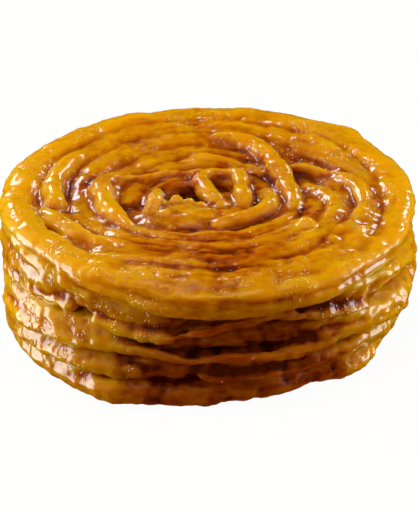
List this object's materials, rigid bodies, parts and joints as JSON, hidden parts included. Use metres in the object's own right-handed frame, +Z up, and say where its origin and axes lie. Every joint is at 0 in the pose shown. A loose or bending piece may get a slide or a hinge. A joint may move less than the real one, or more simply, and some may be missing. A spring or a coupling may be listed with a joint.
{
  "type": "jalebi stack",
  "caption": "Round stack of syrup-soaked jalebi: flat spirals of fried batter strand, stuck together in layers, with a ridged side and a small hole at the centre.",
  "frame": {"origin": "centre of the outline at the underside, where the stack rests", "axes": "+Z up through the layers; -Y is the front, +X to the right of it"},
  "size_m": [0.092, 0.092, 0.035],
  "materials": {
    "syrup_batter_light": "glossy golden amber fried batter under a coat of sugar syrup",
    "syrup_batter": "glossy amber fried batter under a coat of sugar syrup",
    "syrup_batter_deep": "glossy brown-amber fried batter, soaked with sugar syrup"
  },
  "bodies": {
    "root": {"jalebi_1_bottom": "syrup_batter_deep", "jalebi_2_lower": "syrup_batter_deep", "jalebi_3_middle": "syrup_batter", "jalebi_4_upper": "syrup_batter", "jalebi_5_top": "syrup_batter_light"}
  },
  "joints": []
}
